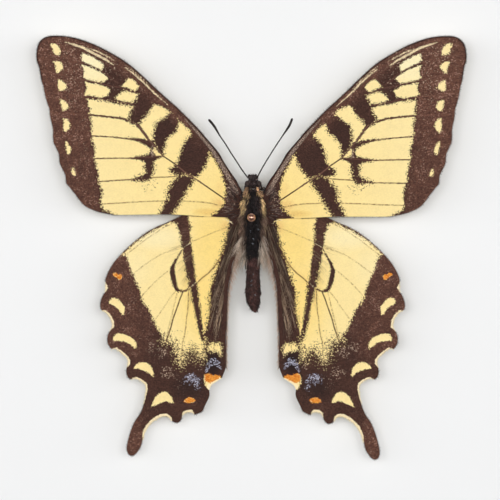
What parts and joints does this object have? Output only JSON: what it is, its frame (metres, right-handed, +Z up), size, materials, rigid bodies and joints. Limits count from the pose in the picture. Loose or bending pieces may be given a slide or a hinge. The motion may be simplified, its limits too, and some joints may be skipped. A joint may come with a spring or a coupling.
{
  "type": "pinned butterfly specimen",
  "caption": "Spread swallowtail butterfly on an insect pin: yellow wings with dark stripes and borders, tailed hindwings, furry body and clubbed antennae.",
  "frame": {"origin": "on the pin's axis, at the level where the pin enters its board", "axes": "+Z up along the pin to its head, out of the butterfly's back; +Y towards the butterfly's head; +X across the wings, towards its right wings"},
  "size_m": [0.08, 0.079, 0.038],
  "materials": {
    "wing_scales": "matte",
    "body_hair": "matte",
    "horn": "satin",
    "eye_lens": "gloss",
    "pin_steel": "polished",
    "pin_brass": "polished"
  },
  "bodies": {
    "root": {"forewing_left": "wing_scales", "forewing_right": "wing_scales", "hindwing_left": "wing_scales", "hindwing_right": "wing_scales", "head": "body_hair", "thorax": "body_hair", "abdomen": "body_hair", "palp_left": "body_hair", "palp_right": "body_hair", "eye_left": "eye_lens", "eye_right": "eye_lens", "antenna_left": "horn", "antenna_right": "horn", "proboscis": "horn", "leg_front_left": "horn", "leg_front_right": "horn", "leg_middle_left": "horn", "leg_middle_right": "horn", "leg_hind_left": "horn", "leg_hind_right": "horn", "pin_shaft": "pin_steel", "pin_head": "pin_brass"}
  },
  "joints": []
}
